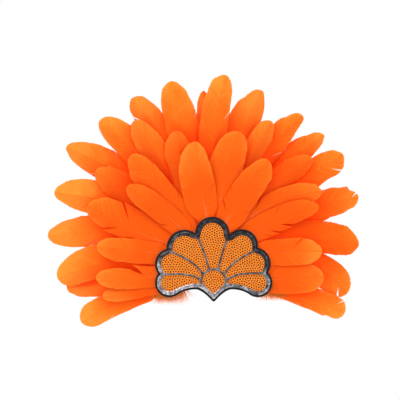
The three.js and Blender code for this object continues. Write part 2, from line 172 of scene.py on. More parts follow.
TONE_SPREAD = 0.03
TONES_AND_PAINTED_SHADE = {  # feathers painted paler or deeper than their layer: partly their own tone, partly painted shade, as on the right-hand back feathers
    "back_06": -0.05, "back_07": -0.15, "back_09": -0.06, "back_11": 0.02, "back_12": -0.04,
    "back_13": -0.16, "back_14": -0.19, "back_15": -0.25, "back_16": -0.26, "back_17": -0.32,
    "back_18": -0.27, "back_19": -0.12, "mid_01": -0.08, "mid_02": -0.18, "mid_04": -0.28,
    "mid_05": -0.05, "front_03": -0.14, "front_04": 0.15, "front_06": 0.04, "front_07": -0.14,
    "front_08": 0.18, "front_09": 0.01, "front_10": 0.06, "front_11": 0.2, "front_12": 0.14,
}
WAVE_DEPTH = 0.5
WAVE_COUNT = 2.2
WAVE_OPENING = 30

# The shaft
SHAFT_STATIONS = 30
SHAFT_SIDES = 8
SHAFT_RADIUS = 0.75
SHAFT_TIP_RADIUS = 0.14
SHAFT_TAPER = 0.7
SHAFT_FLATNESS = 0.8
SHAFT_SEATED = 0.06  # share of the length in which the quill rises from the felt to its layer

# Places where a vane has parted: side is 1 on the left of the way to the tip, at is the share of the
# length where the parting meets the edge, depth is the share of the barb that stays closed
Split = namedtuple("Split", "feather side at depth opening")
SPLITS = [Split(*row) for row in (
    ("back_08", 1, 0.90, 0.45, 1.4),
    ("back_10", -1, 0.95, 0.15, 1.6),
    ("back_15", -1, 0.93, 0.40, 1.4),
    ("back_16", 1, 0.985, 0.20, 1.6),
    ("back_18", -1, 0.97, 0.25, 2.4),
    ("back_19", 1, 0.95, 0.45, 1.0),
    ("mid_01", 1, 0.80, 0.25, 3.0),
    ("mid_01", 1, 0.62, 0.35, 2.6),
    ("mid_01", -1, 0.74, 0.22, 2.8),
    ("mid_05", 1, 0.47, 0.30, 2.0),
    ("mid_05", 1, 0.36, 0.30, 2.0),
    ("front_06", 1, 0.45, 0.30, 1.8),
    ("front_07", -1, 0.72, 0.25, 3.2),
    ("front_07", -1, 0.58, 0.45, 2.6),
    ("front_08", 1, 0.78, 0.10, 1.6),
    ("front_11", -1, 0.62, 0.12, 6.0),
)]
SPLIT_SPREAD = 9  # barbs over which a parting closes again
SMALL_SPLITS = 2
SMALL_SPLIT_RANGE = (0.45, 0.85)
SMALL_SPLIT_DEPTH = (0.3, 0.8)
SMALL_SPLIT_OPENING = (0.02, 0.16)  # times one more than the layer: those in front open wider

# Down at the foot of a vane
DOWN_STRANDS = 60
DOWN_RANGE = (0.05, 0.36)
DOWN_LENGTH = 10
DOWN_SHORTEST = 0.5
DOWN_LIFT = 0.5
DOWN_SEGMENTS = 7
DOWN_RADIUS = 0.15
DOWN_TIP_RADIUS = 0.04
DOWN_LEAN = (0.5, 1.25)  # angle from the shaft, radians
DOWN_WAVE = 0.9
DOWN_SAG = 0.25
DOWN_SIDES = 3
DOWN_MARK = 0.5  # down counts as half of a quill
# Feathers with long down below them: between which shares of the shaft, and how low it hangs
HANGING_DOWN = {"back_01": (0, 0.25, -39), "back_19": (0.18, 0.4, -34.5)}
HANGING_STRANDS = 760
HANGING_REACH = (0.7, 1.05)
HANGING_SPREAD = 0.45  # radians off the plumb line
HANGING_RADIUS = 0.34
HANGING_LIFT = 1
HANGING_PAINTED_LIGHT = 1.2  # painted light: the strands are painted paler than the end of a vane, which is 1, against the shade below the patch

# The patch's outline: scallops down each side from the top one, then the lower edge to the point. On
# either side x runs outwards from the middle
Lobe = namedtuple("Lobe", "x z radius")
TOP_Z = 45.7
TOP_RADIUS = 20.7
TOP_X = -1.6
RIGHT_LOBES = [Lobe(*row) for row in (
    (TOP_X, TOP_Z, TOP_RADIUS), (33.9, 32.2, 19.3), (48.7, 10.3, 19.6), (53.1, -12.8, 17.3),
)]
LEFT_LOBES = [Lobe(*row) for row in (
    (-TOP_X, TOP_Z, TOP_RADIUS), (34.8, 29.4, 21.5), (50.9, 9.5, 19.3), (53, -12.8, 17.3),
)]
LAST_LOBE_END = math.radians(-125)
LOWER_PEAK = (21, -20.5)
LOWER_RISE_X = 34.3
LOWER_FALL = (13.5, -21.5)
LOWER_POINT_Z = -35
LOWER_POINT_HALF_WIDTH = 2.6
LOWER_POINT_RISE = 1.7
LOWER_POINT_STEPS = 4
LOWER_STEPS = 14
POINT_INSET = 1.3  # the point moves in by this share of an inset
FALL_INSET = (-0.2, 1.5)  # and the bend above it by these
ARC_STEP = math.radians(6)
BACKING_INSET = 3
FOIL_INSET = 2.1
FOIL_TRIM = 0.5  # the foil's edge is turned under, so that much less of it shows
LEAST_INSET = 0.05

# Felt
FELT_ROUNDING = 0.6
FELT_ROUND_STEPS = 4
FELT_LUMPS = 0.12
FELT_LUMP_LENGTH = 14
FILL_PITCH = 4
CORE_HALF_WIDTH = 20
CORE_BOTTOM = -14
CORE_TOP = 16
CORE_CORNER = 3
CORE_BULGE = 0.4
CORE_STEPS = 9

# Foil
FOIL_PITCH = 0.9
FOIL_CROWN = 0.9
FOIL_FULL_WIDTH = 4.2
FOIL_CRINKLE = 0.05
FOIL_CRINKLE_LENGTH = 5
FOIL_EDGE = 0.25
FOIL_LINE = (4.5, 6.5)  # distance from the rim past which the foil shows only as lines

# Sequins
SEQUIN_RADIUS = 1.6
SEQUIN_FLAT = 1.2
SEQUIN_HOLE = 1.02
SEQUIN_CUP = 0.36
SEQUIN_SKIN = 0.1
SEQUIN_SIDES = 12
SEQUIN_PITCH = 3.25
SEQUIN_MARGIN = 1.6
SEQUIN_TILT = 0.1
SEQUIN_ROWS = 8
SEQUIN_ROW_SLACK = 0.06
SEQUIN_ROW_STEP = 0.88  # distance between rows, as a share of the pitch
SEQUIN_ROOM = 0.86  # the least distance between places before they settle, as a share of the pitch
SETTLE_ROUNDS = 80
SETTLE_REACH = 1.08
SETTLE_SHARE = 0.2
KNOT_HEIGHT = 0.12
SEQUIN_MARKS = (0, 0.5, 1)  # knot, cloth and cup, for their colours; the knot is thread painted dark as the hole's shade
GROUND = 0.5
LOOP_STEP = 0.5
LOOP_SMOOTHING = 24
SEQUIN_NODES = ["sequin_top", "sequin_centre"] + [
    f"sequin_{row}_{side}" for row in ("upper", "middle", "lower") for side in ("left", "right")
]

# Elastic
ELASTIC_THICKNESS = 1.2
ELASTIC_BOTTOM = -10
ELASTIC_TOP = 5
ELASTIC_RIBS = 9
ELASTIC_RIB_DEPTH = 0.16
ELASTIC_ACROSS = 55
ELASTIC_STEPS = 220
ELASTIC_EDGE_POWER = 12
ELASTIC_EDGE_LEAST = 0.15
CURVE_STEPS = 24
ELASTIC_TAB = [(32, 0), (44, 0), (54, 0.5), (63, 3.5)]  # x and lift off the felt
ELASTIC_COURSE = [(74, 24), (82, 56), (80, 98), (62, 143), (31, 165), (0, 171)]  # x and y

# Camera: the photograph's middle lies here in the frame, and this much shows across it
VIEW_X = -16.3 * MM
VIEW_Z = 86.4 * MM
VIEW_WIDTH = 480 * MM
VIEW_PLANE_Y = 10 * MM
VIEW_DISTANCE = 6
SENSOR = 36
CLIP_END = 100

# Studio: name, place, size and power of each soft light
SKY_STRENGTH = 0.72
LIGHTS = [
    ("key", (-0.9, -1.4, 1.9), 2.4, 48),
    ("fill", (1.6, -1.3, 0.6), 1.2, 11),
    ("low", (-1.1, -1.2, -0.6), 0.8, 16),
    ("back", (0, 1.6, 0.3), 1.6, 15),
]
FLOOR_Z = -0.22
FLOOR_HALF = 1.2

# Dyes, as stops of (value, colour): a vane is paler towards its end, at 1, and where light comes through;
# after them, the colours of painted shade
FRONT_DYE = [
    (0.1, (1, 0.145, 0.008)),
    (0.5, (1, 0.153, 0.0095)),
    (0.75, (1, 0.227, 0.017)),
    (1, (1, 0.355, 0.04)),
]
THROUGH_DYE = [
    (0.1, (1, 0.215, 0.016)),
    (0.5, (1, 0.325, 0.045)),
    (0.75, (1, 0.465, 0.105)),
    (1, (1, 0.68, 0.26)),
]
BARE_DYE = [(0.5, (1, 0.54, 0.19)), (1, (1, 0.38, 0.1))]  # down and quill
# painted shade: the colours a vane is darkened towards where other feathers lie in front of it
PAINTED_SHADE_FRONT = (0.9, 0.03, 0.0015, 1)
PAINTED_SHADE_THROUGH = (1, 0.1, 0.008, 1)
SHEEN_TINT = (1, 0.5, 0.15, 1)

# Colours and roughness of the other materials: plain colours, or stops, in which a bare number is a grey
FELT_BLACKS = [(0.3, (0.006, 0.006, 0.007)), (0.7, (0.022, 0.022, 0.025))]
# random patches of paler and darker foil, partly painted reflection, paler towards the lower left as painted
# light
FOIL_GREYS = [
    (0.3, (0.045, 0.045, 0.048)),
    (0.45, (0.13, 0.13, 0.135)),
    (0.6, (0.36, 0.36, 0.37)),
    (0.7, (0.45, 0.45, 0.46)),
]
FOIL_LINE_GREY = (0.17, 0.155, 0.155, 1)
FOIL_TINTS = [(0.35, (0.9, 0.95, 1)), (0.5, (1, 0.98, 0.97)), (0.62, (1, 0.82, 1)), (0.72, (0.8, 1, 0.9))]
# painted highlights and shade of crumples, as factors on the foil's colour
FOIL_PAINTED_CRUMPLE_LIGHT = [(0.36, 0.45), (0.5, 0.9), (0.62, 1.4)]
FOIL_ROUGHNESS = [(0.4, 0.22), (0.7, 0.42)]
SEQUIN_ORANGES = [(0.35, (1, 0.25, 0.007)), (0.65, (1, 0.33, 0.022))]
UNDER_SEQUINS = [(0.1, (0.03, 0.006, 0.001)), (0.4, (0.6, 0.15, 0.008))]  # thread painted dark as the hole's shade, and cloth, by mark
CUP_LEAST = 0.75  # marks above this are cups
SEQUIN_ROUGHNESS = [(0.3, 0.22), (0.7, 0.4)]
ELASTIC_BLACKS = [(0.3, (0.008, 0.008, 0.01)), (0.7, (0.02, 0.02, 0.023))]
FLOOR_WHITE = (0.95, 0.95, 0.95, 1)

# Shares and patterns of the materials. A noise is its scale, to the metre, and its detail. A bump is its
# strength and its height in metres
TRANSLUCENCE = 0.42
# painted shade: how strongly the shade of the feathers in front is painted into a vane's colour
PAINTED_SHADE_DEPTH = 0.92
# painted light: how much paler a vane's edge is painted
PAINTED_EDGE_LIGHT = 0.17
STREAK_SIZE = (2.3, 1.2, 40)  # streaks per barb, across the vane and per unit of tone and painted light
STREAK_NOISE = (1, 2)  # its scale counts those
STREAK_DEPTH = 0.6
DRIFT_NOISE = (26, 1)
DRIFT_DEPTH = 0.35
BARBULES = 4  # ripples on one barb
FEATHER_BUMP = (0.25, 0.1 * MM)
FIBRE_NOISE = (900, 5)
PATCHY_NOISE = (120, 3)
FELT_BUMP = (0.8, 0.4 * MM)
FOIL_PAINTED_LIGHT_RIGHT = -1.6  # painted light, per metre: the foil is painted darker to the right and upwards
FOIL_PAINTED_LIGHT_UP = -5.5
FOIL_PATCHES = (70, 3)
FOIL_TINTING = (160, 2)
FOIL_CRUMPLING = (330, 1)
FOIL_SPECKS = (700, 2)
FOIL_WRINKLES = (420, 4)
FOIL_BUMP = (0.5, 0.5 * MM)
SEQUIN_PATCHES = (260, 2)
SEQUIN_SPECKS = (500, 2)
WEAVE_SCALE = 260
ELASTIC_NOISE = (800, 3)
ELASTIC_BUMP = (0.4, 0.2 * MM)

Shape = namedtuple("Shape", "points faces marks")


def unit(vectors):
    return vectors / np.linalg.norm(vectors, axis=-1, keepdims=True)


def smoothstep(value, low, high):
    share = np.clip((value - low) / (high - low), 0, 1)
    return share * share * (3 - 2 * share)


def turns(count):
    """Angles of points that lie evenly round a circle."""
    return np.linspace(0, FULL_TURN, count, endpoint=False)


def at_depth(flat, depth):
    """Points (x, z) as points in space, at one depth or at a depth each."""
    return np.stack((flat[..., 0], np.broadcast_to(depth, flat.shape[:-1]), flat[..., 1]), -1)


def sweep(x):
    """How far the curve of the brow sets a place back."""
    return SWEEP_SLOPE * (np.hypot(x, SWEEP_ROUNDING) - SWEEP_ROUNDING)


def distance_along(path):
    return np.concatenate(([0], np.cumsum(np.linalg.norm(np.diff(path, axis=0), axis=1))))


def points_at(path, where):
    """The flat points at distances along a path."""
    run = distance_along(path)
    return np.column_stack([np.interp(where, run, path[:, axis]) for axis in (0, 1)])


def ripple(first, second, wavelength, rng):
    """Smooth random hills between about -1 and 1: a few sine waves in random directions."""
    total = np.zeros(np.shape(first))
    for _ in range(RIPPLE_WAVES):
        heading = rng.uniform(0, FULL_TURN)
        phase = rng.uniform(0, FULL_TURN)
        pitch = wavelength * rng.uniform(*RIPPLE_PITCH)
        run = first * math.cos(heading) + second * math.sin(heading)
        total += np.sin(FULL_TURN * run / pitch + phase)
    return total / math.sqrt(RIPPLE_WAVES)


def coinciding(points, decimals):
    """The points to keep where several agree to so many decimals, and which of those stands for each."""
    rounded = np.round(points, decimals)
    _, kept, place = np.unique(rounded, axis=0, return_index=True, return_inverse=True)
    return kept, place.ravel()


def joined(shapes):
    """Several shapes with the same marks as one."""
    points, faces, start = [], [], 0
    for shape in shapes:
        points.append(shape.points)
        faces.extend([[corner + start for corner in face] for face in shape.faces])
        start += len(shape.points)
    marks = {
        mark: np.concatenate([shape.marks[mark] for shape in shapes]) for mark in shapes[0].marks
    }
    return Shape(np.vstack(points), faces, marks)


def thin_shell(points, faces, thickness, marks):
    """Closes a sheet that faces the front into a thin solid. All its faces have the same number of sides."""
    count = len(points)
    sides = faces.shape[1]
    half = np.array((0, thickness / 2, 0))
    edges = np.stack((faces, np.roll(faces, -1, axis=1)), -1).reshape(-1, 2)
    _, which, uses = np.unique(np.sort(edges, 1), axis=0, return_inverse=True, return_counts=True)
    rim = edges[uses[which.ravel()] == 1]
    wall = np.column_stack((rim[:, 1], rim[:, 0], rim[:, 0] + count, rim[:, 1] + count))
    back = faces[:, ::-1].reshape(-1, sides) + count
    doubled = {mark: np.concatenate((values, values)) for mark, values in marks.items()}
    return Shape(
        np.vstack((points - half, points + half)),
        faces.tolist() + back.tolist() + wall.tolist(),
        doubled,
    )


def ring_tube(rings, marks):
    """A closed tube through rings of points, each an array of the same number of points."""
    stations, count = rings.shape[:2]
    ring = np.arange(stations - 1)[:, None] * count
    corner = np.arange(count)[None, :]
    following = (corner + 1) % count
    sides = np.stack((ring + corner, ring + following, ring + count + following, ring + count + corner), -1)
    last = (stations - 1) * count
    caps = [list(range(count))[::-1], list(range(last, last + count))]
    return Shape(rings.reshape(-1, 3), sides.reshape(-1, 4).tolist() + caps, marks)


def placed(name, data):
    """A new object in the scene."""
    made = bpy.data.objects.new(name, data)
    bpy.context.scene.collection.objects.link(made)
    return made


def make_piece(name, shape, material, node, bend=True):
    mesh = bpy.data.meshes.new(name)
    points = np.array(shape.points, float)
    if bend:
        points[:, 1] += sweep(points[:, 0])
    mesh.from_pydata((points * MM).tolist(), [], shape.faces)
    mesh.polygons.foreach_set("use_smooth", np.ones(len(mesh.polygons), bool))
    mesh.set_sharp_from_angle(angle=SHARP_ANGLE)
    for mark, values in shape.marks.items():
        mesh.attributes.new(mark, "FLOAT", "POINT").data.foreach_set("value", values.astype(np.float32))
    mesh.materials.append(material)
    mesh.update()
    piece = placed(name, mesh)
    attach(piece, "root")
    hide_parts(node)


# Feathers


def opening(radius):
    beyond = np.maximum(0, radius - LEAN_START)
    return beyond ** 2 / (beyond + LEAN_EASING)


def layer_depth(layer, radius):
    return FIRST_LAYER_Y - LAYER_PITCH * layer - (BACK_LEAN + LEAN_STEP * layer) * opening(radius)


def camber_depth(radius):
    return CAMBER_SHARE * (LAYER_PITCH + LEAN_STEP * opening(radius) - CAMBER_FREE)


def full_width(feather, side):
    return feather.left if side > 0 else feather.right


def vane_width(feather, along, side):
    filling = smoothstep(along, QUILL_END, VANE_FILLED)
    widening = np.clip((along - VANE_FILLED) / (VANE_WIDEST - VANE_FILLED), 0, 1)
    tip_start = feather.tip_left if side > 0 else feather.tip_right
    rounding = np.clip((along - tip_start) / (1 - tip_start), 0, 1)
    full = filling * FILLED_SHARE + widening * (1 - FILLED_SHARE)
    share = full * np.sqrt(1 - rounding ** TIP_POWER)
    smallest = np.where(along < VANE_FILLED, QUILL_HALF_WIDTH, TIP_HALF_WIDTH)
    return np.maximum(smallest, share * full_width(feather, side))


def shaft_length(feather):
    return math.hypot(feather.tip_x - feather.root_x, feather.tip_z - feather.root_z)


def chord_of(feather):
    """A feather's foot and tip, and the unit vectors from one to the other and to the left of that."""
    root = np.array((feather.root_x, feather.root_z), float)
    tip = np.array((feather.tip_x, feather.tip_z), float)
    chord = (tip - root) / shaft_length(feather)
    return root, tip, chord, np.array((-chord[1], chord[0]))


def shaft_at(feather, along):
    """Points (x, z) of the shaft's curve, and the unit vectors along it and to its left."""
    root, tip, _, beside = chord_of(feather)
    bend = (root + tip) / 2 + 2 * feather.bow * beside
    share = np.asarray(along)[..., None]
    point = (1 - share) ** 2 * root + 2 * share * (1 - share) * bend + share ** 2 * tip
    heading = unit((1 - share) * (bend - root) + share * (tip - bend))
    left = np.stack((-heading[..., 1], heading[..., 0]), -1)
    return point, heading, left


def cover_gap(feather, place):
    """Distance from points (x, z) to a feather's outline, negative inside it."""
    root, _, chord, beside = chord_of(feather)
    length = shaft_length(feather)
    forward = (place - root) @ chord / length
    along = np.clip(forward, 0, 1)
    aside = (place - root) @ beside - 4 * feather.bow * along * (1 - along)
    width = np.where(aside > 0, vane_width(feather, along, 1), vane_width(feather, along, -1))
    gap = np.abs(aside) - width
    beyond = np.abs(forward - along) * length
    return np.where(beyond > 0, np.hypot(np.maximum(gap, 0), beyond), gap)


def painted_shade(feather, place, face):
    """Share of the light that other feathers hide from points on the front face (1) or the back face (-1),
    painted into their colour as shade.
    """
    spacing = LAYER_PITCH + LEAN_STEP * opening(np.hypot(place[:, 0], place[:, 1]))
    clear = np.ones(len(place))
    for other in FEATHERS:
        layers = face * (other.layer - feather.layer)
        if layers > 0:
            gap = cover_gap(other, place)
            clear *= (1 + gap / np.hypot(gap, PAINTED_SHADE_REACH * layers * spacing)) / 2
    return 1 - clear


def barb_lengths(feather, rng):
    """How far each barb's two grooves and its ridge between them reach, as shares of the whole barb."""
    towards_tip = np.linspace(0, 1, BARBS + 1) ** TIP_GATHERING
    clump = np.interp(np.arange(BARBS), np.linspace(0, BARBS, CLUMPS), rng.normal(size=CLUMPS))
    ragged = RAGGED.get(feather.name, CLUMP_RAGGED)
    ridges = 1 + (ragged + TIP_RAGGED * towards_tip[1:]) * clump
    notches = (BARB_NOTCH + TIP_NOTCH * towards_tip) * rng.uniform(0, 1, BARBS + 1) ** 2
    beside = np.minimum(np.append(ridges, ridges[-1]), np.append(ridges[0], ridges))
    grooves = beside * (1 - notches)
    return np.column_stack((grooves[:-1], ridges, grooves[1:]))[:, :, None]


def small_splits(feather, side, rng):
    return [
        Split(
            feather.name,
            side,
            rng.uniform(*SMALL_SPLIT_RANGE),
            rng.uniform(*SMALL_SPLIT_DEPTH),
            rng.uniform(*SMALL_SPLIT_OPENING) * (feather.layer + 1),
        )
        for _ in range(SMALL_SPLITS)
    ]


def parted(split, feather, leave, reach, share):
    """How far a parting moves the barbs, along the shaft in shares of it and across in millimetres."""
    first = round(BARBS * (1 - (1 - split.at) ** (1 / BARB_RAKE)))
    barb = np.arange(BARBS)[:, None, None]
    sign = np.where(barb >= first, 1, -1)
    away = np.abs(leave * BARBS - first)
    push = sign * split.opening / 2 * np.exp(-away / SPLIT_SPREAD) * smoothstep(share, split.depth, 1)
    run = (reach - leave) * shaft_length(feather)
    width = vane_width(feather, reach, split.side)
    size = np.hypot(run, width)
    return push * width / size / shaft_length(feather), -push * run / size


def vane_side(feather, side, roll, fold, rng):
    """Points of one side's barbs, in arrays of barbs by three columns by rows, and their marks."""
    barb = np.arange(BARBS)[:, None, None]
    column = np.array((0, 0.5, 1))[None, :, None]
    share = (np.linspace(0, 1, BARB_ROWS + 1) ** ROW_POWER)[None, None, :]
    leave = (barb + column) / BARBS + 0 * share
    reach = 1 - (1 - leave) ** BARB_RAKE
    edge = VANE_LOOSE * vane_width(feather, reach, side)
    length = barb_lengths(feather, rng)
    along = leave + (reach - leave) * share ** BARB_CURL * length
    across = share * length * edge
    named = [split for split in SPLITS if (split.feather, split.side) == (feather.name, side)]
    for split in named + small_splits(feather, side, rng):
        slide, spread = parted(split, feather, leave, reach, share)
        along = along + slide
        across = across + spread
    middle, _, left = shaft_at(feather, along)
    place = middle + side * left * across[..., None]
    radius = np.hypot(place[..., 0], place[..., 1])
    depth = layer_depth(feather.layer, radius)
    open_air = np.clip(opening(radius) / WAVE_OPENING, 0, 1)
    depth += ARCH * camber_depth(radius) * edge / full_width(feather, side) * share ** ARCH_POWER
    depth += roll * side * across * open_air
    depth -= FOLD * fold * (1 - np.exp(-across / FOLD_WIDTH)) * open_air
    depth += SHAFT_DIP * np.exp(-(across / SHAFT_DIP_WIDTH) ** 2)
    depth -= BARB_RELIEF * np.where(column == 0.5, 1, -1) * smoothstep(share, 0, RELIEF_START)
    waves = np.sin(FULL_TURN * (WAVE_COUNT * along + rng.uniform()))
    depth += WAVE_DEPTH * waves * share ** 2 * open_air
    marks = {"along": along, "across": side * share + 0 * along, "barb": leave * BARBS}
    return at_depth(place, depth), marks


def vane_quads():
    """Faces between neighbouring points of both sides' barbs, all turned to the front."""
    index = np.arange(BARBS * 3 * (BARB_ROWS + 1)).reshape(BARBS, 3, BARB_ROWS + 1)
    quads = np.stack((index[:, :-1, :-1], index[:, 1:, :-1], index[:, 1:, 1:], index[:, :-1, 1:]), -1)
    quads = quads.reshape(-1, 4)
    return np.vstack((quads, quads[:, ::-1] + index.size))


def vane(feather, rng):
    """Both sides of a vane as one thin sheet that is open only where it has parted."""
    roll = rng.uniform(-ROLL, ROLL)
    fold = FOLDS.get(feather.name, rng.uniform(*FOLD_RANGE))
    sides = [vane_side(feather, side, roll, fold, rng) for side in (1, -1)]
    points = np.vstack([points.reshape(-1, 3) for points, _ in sides])
    kept, place = coinciding(points, VANE_WELD_DECIMALS)
    marks = {}
    for mark in ("along", "across", "barb"):
        marks[mark] = np.concatenate([values[mark].ravel() for _, values in sides])[kept]
    marks["quill"] = np.zeros(len(kept))
    shell = thin_shell(points[kept], place[vane_quads()], VANE_THICKNESS, marks)
    flat = points[kept][:, [0, 2]]
    shell.marks["painted_shade"] = np.concatenate([painted_shade(feather, flat, face) for face in (1, -1)])
    return shell


def quill_depth(feather, along, radius):
    """The shaft's depth: it rises from the felt that it is glued to, and then follows its layer."""
    risen = smoothstep(along, 0, SHAFT_SEATED)
    return (1 - risen) * (SEAT_Y - SHAFT_RADIUS) + risen * layer_depth(feather.layer, radius)


def shaft(feather):
    along = np.linspace(0, 1, SHAFT_STATIONS)
    middle, _, left = shaft_at(feather, along)
    depth = quill_depth(feather, along, np.hypot(middle[:, 0], middle[:, 1]))
    radius = SHAFT_RADIUS + (SHAFT_TIP_RADIUS - SHAFT_RADIUS) * along ** SHAFT_TAPER
    angle = turns(SHAFT_SIDES)
    aside = radius[:, None] * np.cos(angle)
    rings = np.stack((
        middle[:, None, 0] + aside * left[:, None, 0],
        depth[:, None] + radius[:, None] * SHAFT_FLATNESS * np.sin(angle),
        middle[:, None, 1] + aside * left[:, None, 1],
    ), -1)
    count = SHAFT_STATIONS * SHAFT_SIDES
    marks = {
        "along": np.repeat(along, SHAFT_SIDES),
        "across": np.zeros(count),
        "barb": np.zeros(count),
        "quill": np.ones(count),
        "painted_shade": np.repeat(painted_shade(feather, middle, 1), SHAFT_SIDES),
    }
    return ring_tube(rings, marks)


def strands(courses, where, radius):
    """Tapered three-sided strands along their middle lines, each marked as lying so far along the shaft."""
    taper = np.linspace(radius, DOWN_TIP_RADIUS, DOWN_SEGMENTS + 1)
    angle = turns(DOWN_SIDES)
    across = np.gradient(courses, axis=1)
    across = unit(np.stack((-across[..., 2], 0 * across[..., 1], across[..., 0]), -1))
    depthwise = np.array((0, 1.0, 0))
    turn = np.cos(angle)[:, None] * across[:, :, None] + np.sin(angle)[:, None] * depthwise
    rings = courses[:, :, None] + taper[None, :, None, None] * turn
    values = {"across": DOWN_MARK, "barb": 0, "quill": DOWN_MARK, "painted_shade": 0}
    count = (DOWN_SEGMENTS + 1) * DOWN_SIDES
    made = []
    for ring, along in zip(rings, where):
        marks = {mark: np.full(count, float(value)) for mark, value in values.items()}
        marks["along"] = np.full(count, float(along))
        made.append(ring_tube(ring, marks))
    return made


def strand_courses(feather, middle, away, aside, reach, sag, phase, lift):
    """Middle lines of strands that leave the shaft and wave aside, in arrays of strands by points."""
    run = np.linspace(0, 1, DOWN_SEGMENTS + 1)[None, :]
    wave = DOWN_WAVE * np.sin(FULL_TURN * run + phase[:, None]) * run
    straight = middle[:, None] + (reach[:, None] * run)[..., None] * away[:, None]
    flat = straight + wave[..., None] * aside[:, None]
    flat[..., 1] -= sag * reach[:, None] * run ** 2
    depth = layer_depth(feather.layer, np.hypot(flat[..., 0], flat[..., 1])) + lift[:, None] * run
    return at_depth(flat, depth)


def down(feather, rng):
    """Fine strands on both sides of a vane's foot."""
    start = rng.uniform(*DOWN_RANGE, DOWN_STRANDS)
    side = rng.choice((-1, 1), DOWN_STRANDS)
    lean = rng.uniform(*DOWN_LEAN, DOWN_STRANDS)
    reach = DOWN_LENGTH * rng.uniform(DOWN_SHORTEST, 1, DOWN_STRANDS)
    phase = rng.uniform(0, FULL_TURN, DOWN_STRANDS)
    lift = rng.uniform(-DOWN_LIFT, DOWN_LIFT, DOWN_STRANDS)
    middle, heading, left = shaft_at(feather, start)
    away = np.cos(lean)[:, None] * heading + (side * np.sin(lean))[:, None] * left
    aside = np.column_stack((-away[:, 1], away[:, 0]))
    courses = strand_courses(feather, middle, away, aside, reach, DOWN_SAG, phase, lift)
    return strands(courses, start, DOWN_RADIUS)


def hanging_down(feather, rng):
    """Long strands that hang below a vane's foot and sway sideways."""
    first, last, level = HANGING_DOWN[feather.name]
    start = rng.uniform(first, last, HANGING_STRANDS)
    middle = shaft_at(feather, start)[0]
    lean = rng.normal(0, HANGING_SPREAD, HANGING_STRANDS)
    reach = (middle[:, 1] - level) * rng.uniform(*HANGING_REACH, HANGING_STRANDS)
    phase = rng.uniform(0, FULL_TURN, HANGING_STRANDS)
    lift = rng.uniform(-HANGING_LIFT, HANGING_LIFT, HANGING_STRANDS)
    away = np.column_stack((np.sin(lean), -np.cos(lean)))
    sideways = np.array([(1, 0)])
    courses = strand_courses(feather, middle, away, sideways, reach, 0, phase, lift)
    # painted light: the hanging strands are painted paler than any place on a vane
    return strands(courses, np.full(HANGING_STRANDS, HANGING_PAINTED_LIGHT), HANGING_RADIUS)


def feather_shape(feather, rng):
    fluff = down(feather, rng)
    shapes = [vane(feather, rng), shaft(feather), *fluff]
    if feather.name in HANGING_DOWN:
        shapes.extend(hanging_down(feather, rng))
    shape = joined(shapes)
    # painted light: the layer's term paints layer 0 paler and each further layer deeper
    tone_and_painted_light = BACK_PAINTED_LIGHT - LAYER_PAINTED_SHADE_STEP * feather.layer + TONES_AND_PAINTED_SHADE.get(feather.name, 0)
    tone_and_painted_light += rng.uniform(-TONE_SPREAD, TONE_SPREAD)
    shape.marks["tone_and_painted_light"] = np.full(len(shape.points), tone_and_painted_light)
    return shape


def make_feathers(material):
    for number, feather in enumerate(FEATHERS):
        shape = feather_shape(feather, np.random.default_rng(SEED + number))
        make_piece(f"plume_{feather.name}", shape, material, f"feather_{feather.name}")


# The patch's outline and plates


def arc(centre, radius, start, end):
    steps = max(1, math.ceil(abs(end - start) / ARC_STEP))
    angle = np.linspace(start, end, steps + 1)
    return np.array(centre) + radius * np.column_stack((np.cos(angle), np.sin(angle)))


def angle_towards(start, end):
    return math.atan2(end[1] - start[1], end[0] - start[0])


def notch_between(first, second):
    """The outer point where two neighbouring scallops cross."""
    a = np.array((first.x, first.z))
    b = np.array((second.x, second.z))
    apart = np.linalg.norm(b - a)
    along = (apart ** 2 + first.radius ** 2 - second.radius ** 2) / (2 * apart)
    aside = math.sqrt(first.radius ** 2 - along ** 2)
    way = (b - a) / apart
    return a + way * along + np.array((-way[1], way[0])) * aside


def quadratic(start, bend, end, steps):
    share = np.linspace(0, 1, steps + 1)[:, None]
    start, bend, end = (np.array(point, float) for point in (start, bend, end))
    return (1 - share) ** 2 * start + 2 * share * (1 - share) * bend + share ** 2 * end


def lower_edge(start, inset):
    peak = (LOWER_PEAK[0], LOWER_PEAK[1] + inset)
    rise = quadratic(start, (LOWER_RISE_X, peak[1]), peak, LOWER_STEPS)
    point = (0, LOWER_POINT_Z + POINT_INSET * inset)
    beside = (LOWER_POINT_HALF_WIDTH, point[1] + LOWER_POINT_RISE)
    bend = np.array(LOWER_FALL) + inset * np.array(FALL_INSET)
    fall = quadratic(peak, bend, beside, LOWER_STEPS)
    round_off = quadratic(beside, (LOWER_POINT_HALF_WIDTH / 2, point[1]), point, LOWER_POINT_STEPS)
    return [rise[1:], fall[1:], round_off[1:]]


def half_outline(lobes, inset):
    """One half of the patch's outline, from the top to the point."""
    half = []
    start = math.pi / 2
    for lobe, following in zip(lobes, lobes[1:] + [None]):
        centre = (lobe.x, lobe.z)
        notch = notch_between(lobe, following) if following else None
        end = angle_towards(centre, notch) if following else LAST_LOBE_END
        half.append(arc(centre, lobe.radius - inset, start, end))
        if following:
            turn = [angle_towards(notch, centre), angle_towards(notch, (following.x, following.z))]
            turn[1] += FULL_TURN if turn[1] < turn[0] else 0
            half.append(arc(notch, inset, *turn)[1:-1])
            start = angle_towards((following.x, following.z), notch)
    half.extend(lower_edge(half[-1][-1], inset))
    return np.vstack(half)


def patch_outline(inset):
    """The patch's outline drawn in by an inset, clockwise from the top, with as many points at any inset."""
    inset = max(inset, LEAST_INSET)
    left = half_outline(LEFT_LOBES, inset)
    return np.vstack((half_outline(RIGHT_LOBES, inset), left[-2:0:-1] * np.array((-1, 1))))


